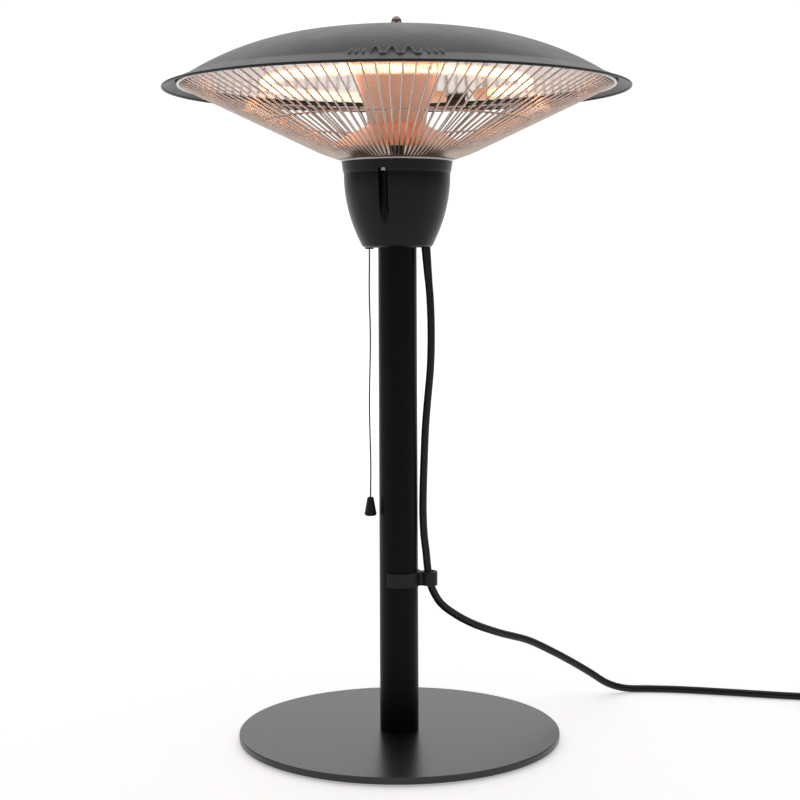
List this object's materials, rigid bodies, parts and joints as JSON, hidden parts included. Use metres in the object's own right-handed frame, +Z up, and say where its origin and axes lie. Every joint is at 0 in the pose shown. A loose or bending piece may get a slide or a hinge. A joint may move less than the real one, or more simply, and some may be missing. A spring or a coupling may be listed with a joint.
{
  "type": "outdoor heater",
  "caption": "Table-top outdoor heater: a wide dome over a ring lamp in a radial wire guard, on a bell-shaped housing, a round pole and a flat round base, with pull cord and mains cord.",
  "frame": {"origin": "on the floor, under the pole's axis", "axes": "+Z up along the pole, the front faces -Y, the mains cord leaves towards +X"},
  "size_m": [0.7125, 0.425, 0.6556],
  "materials": {
    "black_satin": "satin powder coat",
    "housing_black": "satin moulding",
    "dome_paint": "semi-gloss paint",
    "pad_rubber": "matte",
    "zinc_steel": "zinc plated",
    "dark_steel": "dark",
    "chrome": "polished",
    "polished_aluminium": "polished",
    "quartz": "clear",
    "filament": "glowing wire",
    "ceramic": "ceramic",
    "lead_sleeve": "glass-fibre sleeve",
    "lead_brown": "insulation",
    "lead_blue": "insulation",
    "lead_green": "insulation",
    "black_plastic": "moulded",
    "white_plastic": "moulded",
    "brass": "plain",
    "string_black": "braided",
    "cord_rubber": "satin",
    "tie_white": "plain"
  },
  "bodies": {
    "root": {"base_plate": "black_satin", "base_pads": "pad_rubber", "base_screw": "zinc_steel", "pole_foot_insert": "zinc_steel", "pole": "black_satin", "pole_head_insert": "zinc_steel", "head_bolt": "zinc_steel", "support_bracket": "zinc_steel", "bracket_screws": "zinc_steel", "housing_cup": "housing_black", "housing_screws": "zinc_steel", "guard_base_plate": "chrome", "guard_inner_ring": "chrome", "guard_wires": "chrome", "guard_hoop": "chrome", "guard_outer_ring": "chrome", "guard_clips": "zinc_steel", "clip_screws": "zinc_steel", "support_tube": "dark_steel", "tube_nuts": "dark_steel", "tube_stud": "zinc_steel", "lower_cone": "polished_aluminium", "column_funnel": "polished_aluminium", "inner_reflector": "polished_aluminium", "reflector_clamp": "dark_steel", "dome_spacer": "zinc_steel", "dome": "dome_paint", "dome_washer": "chrome", "acorn_nut": "chrome", "lamp_tube": "quartz", "lamp_filament": "filament", "lamp_end_caps": "ceramic", "lamp_clips": "zinc_steel", "lamp_bracket": "dark_steel", "lamp_leads": "lead_sleeve", "pull_bushing": "black_plastic", "pull_switch_body": "white_plastic", "pull_switch_spring": "zinc_steel", "terminal_block": "white_plastic", "tip_switch_frame": "zinc_steel", "tip_pin": "zinc_steel", "tip_microswitch": "black_plastic", "supply_leads": "lead_brown", "switch_lead": "lead_blue", "earth_lead": "lead_green", "earth_screw": "brass", "strain_relief": "cord_rubber", "cable_clip": "black_plastic", "mains_cord": "cord_rubber", "cord_coil": "cord_rubber", "cord_tail": "cord_rubber", "cord_tie": "tie_white", "plug_body": "cord_rubber", "plug_contacts": "chrome"},
    "pull": {"pull_switch_plunger": "brass", "pull_string": "string_black", "pull_knob": "black_plastic"},
    "rotor": {"pull_switch_rotor": "brass"},
    "pendulum": {"tip_pendulum": "brass"}
  },
  "joints": [
    {"name": "pull_switch", "type": "slide", "parent": "root", "child": "pull", "axis": [0, 0, -1], "range_m": [0, 0.006], "stiffness_N_per_m": 250, "springref_m": -0.004, "deforming": ["pull_switch_spring"]},
    {"name": "switch_index", "type": "hinge", "parent": "root", "child": "rotor", "pos_m": [-0.0254, -0.004, 0.4785], "axis": [0, 1, 0], "range_deg": [0, 90]},
    {"name": "tip_over", "type": "hinge", "parent": "root", "child": "pendulum", "pos_m": [-0.024, 0, 0.5115], "axis": [0, 1, 0], "range_deg": [-20, 20]}
  ],
  "couplings": [
    {"joint": "switch_index", "follows": "pull_switch", "rad_per_m": 261.7}
  ]
}
